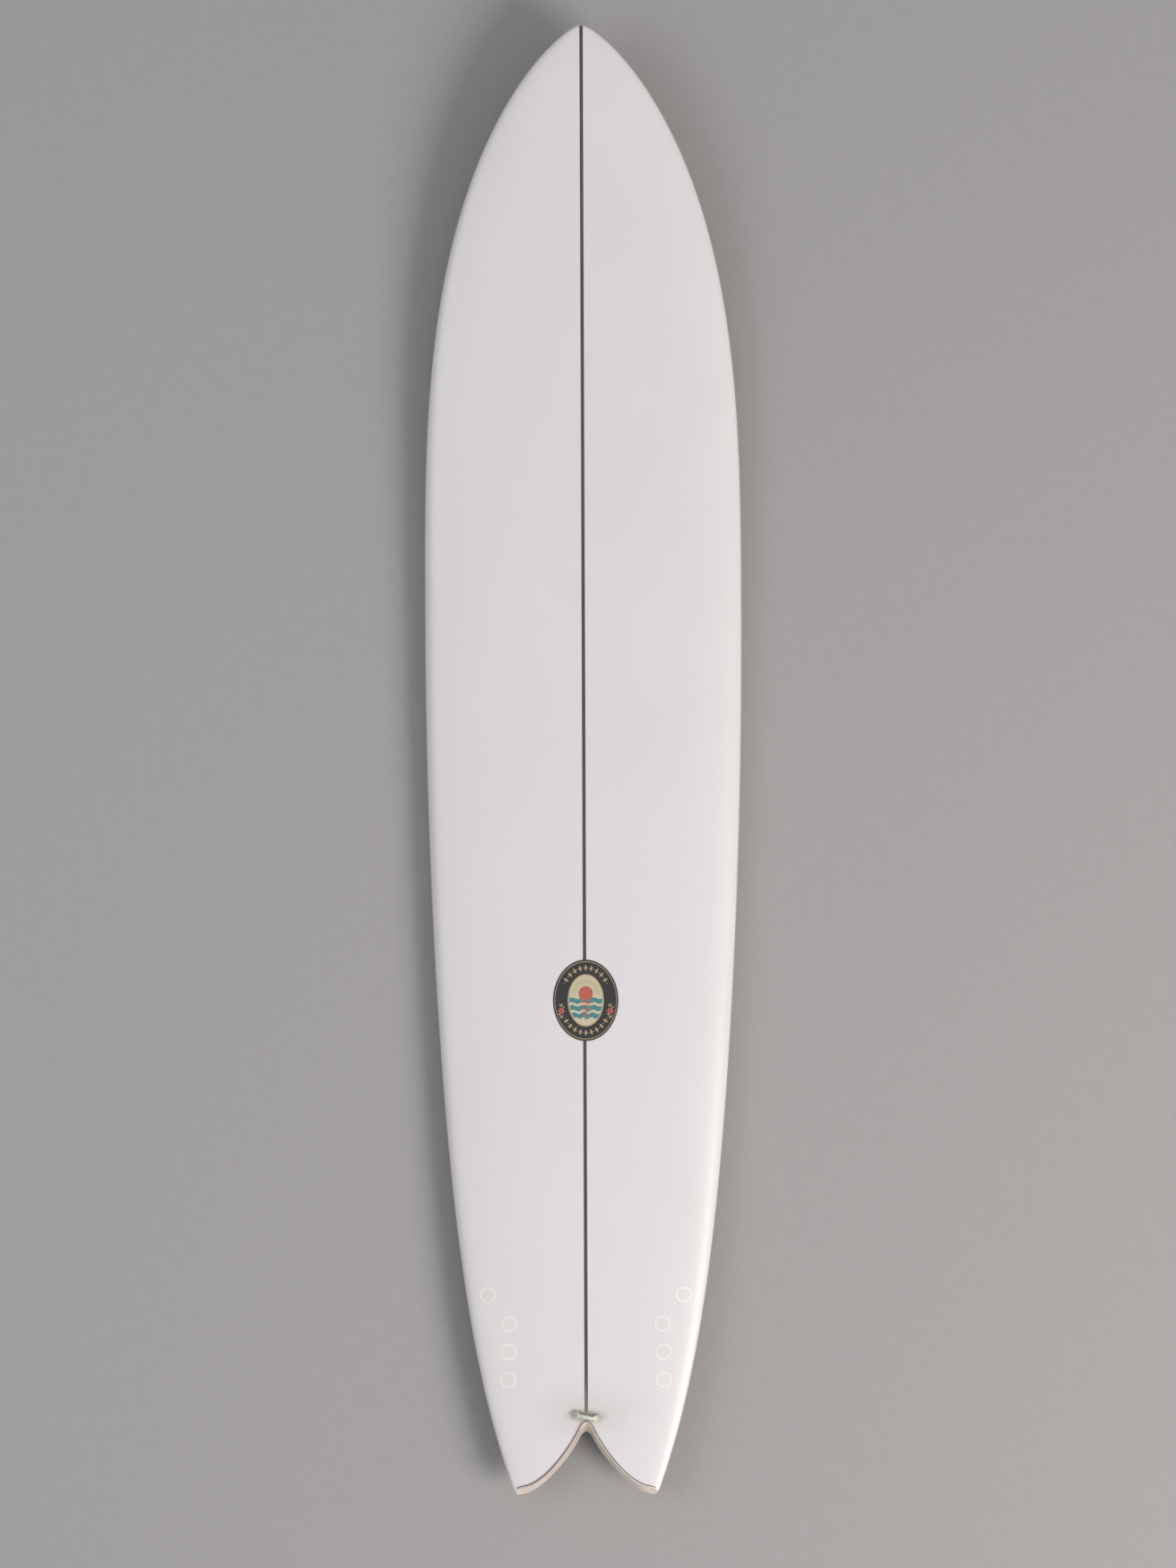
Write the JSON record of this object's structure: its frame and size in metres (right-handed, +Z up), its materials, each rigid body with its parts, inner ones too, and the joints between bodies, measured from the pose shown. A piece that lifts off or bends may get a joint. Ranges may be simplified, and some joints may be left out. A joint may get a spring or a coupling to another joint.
{
  "type": "surfboard",
  "caption": "long swallow-tail foam and fibreglass surfboard with a wooden stringer, slotted fin plugs with grub screws and a bonded leash loop, for riding waves",
  "frame": {"origin": "the point under the middle of the board on the surface it lies on", "axes": "+Y runs along the centreline to the nose, +Z up out of the deck, +X to the right rail seen from above with the nose away from the viewer"},
  "size_m": [0.596, 2.7422, 0.135],
  "materials": {
    "foam": "matte",
    "stringer": "matte",
    "glassed_skin": "gloss",
    "wall_skin": "satin",
    "pinline": "gloss",
    "decal": "satin",
    "loop": "gloss",
    "patch": "gloss",
    "plug": "satin",
    "potting": "gloss",
    "screw": "satin"
  },
  "bodies": {
    "board": {"foam_core_left": "foam", "foam_core_right": "foam", "stringer": "stringer", "deck_laminate": "glassed_skin", "bottom_laminate": "glassed_skin", "deck_decal": "decal", "tail_pinline": "pinline", "tail_wall_laminate": "wall_skin", "leash_loop_patch": "patch", "leash_loop": "loop", "plug_potting_left_outer": "potting", "fin_plug_left_outer": "plug", "plug_potting_left_front": "potting", "fin_plug_left_front": "plug", "plug_potting_left_middle": "potting", "fin_plug_left_middle": "plug", "plug_potting_left_rear": "potting", "fin_plug_left_rear": "plug", "plug_potting_right_outer": "potting", "fin_plug_right_outer": "plug", "plug_potting_right_front": "potting", "fin_plug_right_front": "plug", "plug_potting_right_middle": "potting", "fin_plug_right_middle": "plug", "plug_potting_right_rear": "potting", "fin_plug_right_rear": "plug"},
    "grub_screw_left_outer": {"grub_screw_left_outer": "screw"},
    "grub_screw_left_front": {"grub_screw_left_front": "screw"},
    "grub_screw_left_middle": {"grub_screw_left_middle": "screw"},
    "grub_screw_left_rear": {"grub_screw_left_rear": "screw"},
    "grub_screw_right_outer": {"grub_screw_right_outer": "screw"},
    "grub_screw_right_front": {"grub_screw_right_front": "screw"},
    "grub_screw_right_middle": {"grub_screw_right_middle": "screw"},
    "grub_screw_right_rear": {"grub_screw_right_rear": "screw"}
  },
  "joints": [
    {"name": "grub_screw_travel_left_outer", "type": "slide", "parent": "board", "child": "grub_screw_left_outer", "axis": [0.5963, 0.0477, 0.8013], "range_m": [-0.0012, 0.0025]},
    {"name": "grub_screw_travel_left_front", "type": "slide", "parent": "board", "child": "grub_screw_left_front", "axis": [0.5532, 0.0468, 0.8317], "range_m": [-0.0012, 0.0025]},
    {"name": "grub_screw_travel_left_middle", "type": "slide", "parent": "board", "child": "grub_screw_left_middle", "axis": [0.5584, 0.0508, 0.828], "range_m": [-0.0012, 0.0025]},
    {"name": "grub_screw_travel_left_rear", "type": "slide", "parent": "board", "child": "grub_screw_left_rear", "axis": [0.5666, 0.0554, 0.8221], "range_m": [-0.0012, 0.0025]},
    {"name": "grub_screw_travel_right_outer", "type": "slide", "parent": "board", "child": "grub_screw_right_outer", "axis": [-0.5963, 0.0477, 0.8013], "range_m": [-0.0012, 0.0025]},
    {"name": "grub_screw_travel_right_front", "type": "slide", "parent": "board", "child": "grub_screw_right_front", "axis": [-0.5532, 0.0468, 0.8317], "range_m": [-0.0012, 0.0025]},
    {"name": "grub_screw_travel_right_middle", "type": "slide", "parent": "board", "child": "grub_screw_right_middle", "axis": [-0.5584, 0.0508, 0.828], "range_m": [-0.0012, 0.0025]},
    {"name": "grub_screw_travel_right_rear", "type": "slide", "parent": "board", "child": "grub_screw_right_rear", "axis": [-0.5666, 0.0554, 0.8221], "range_m": [-0.0012, 0.0025]}
  ]
}
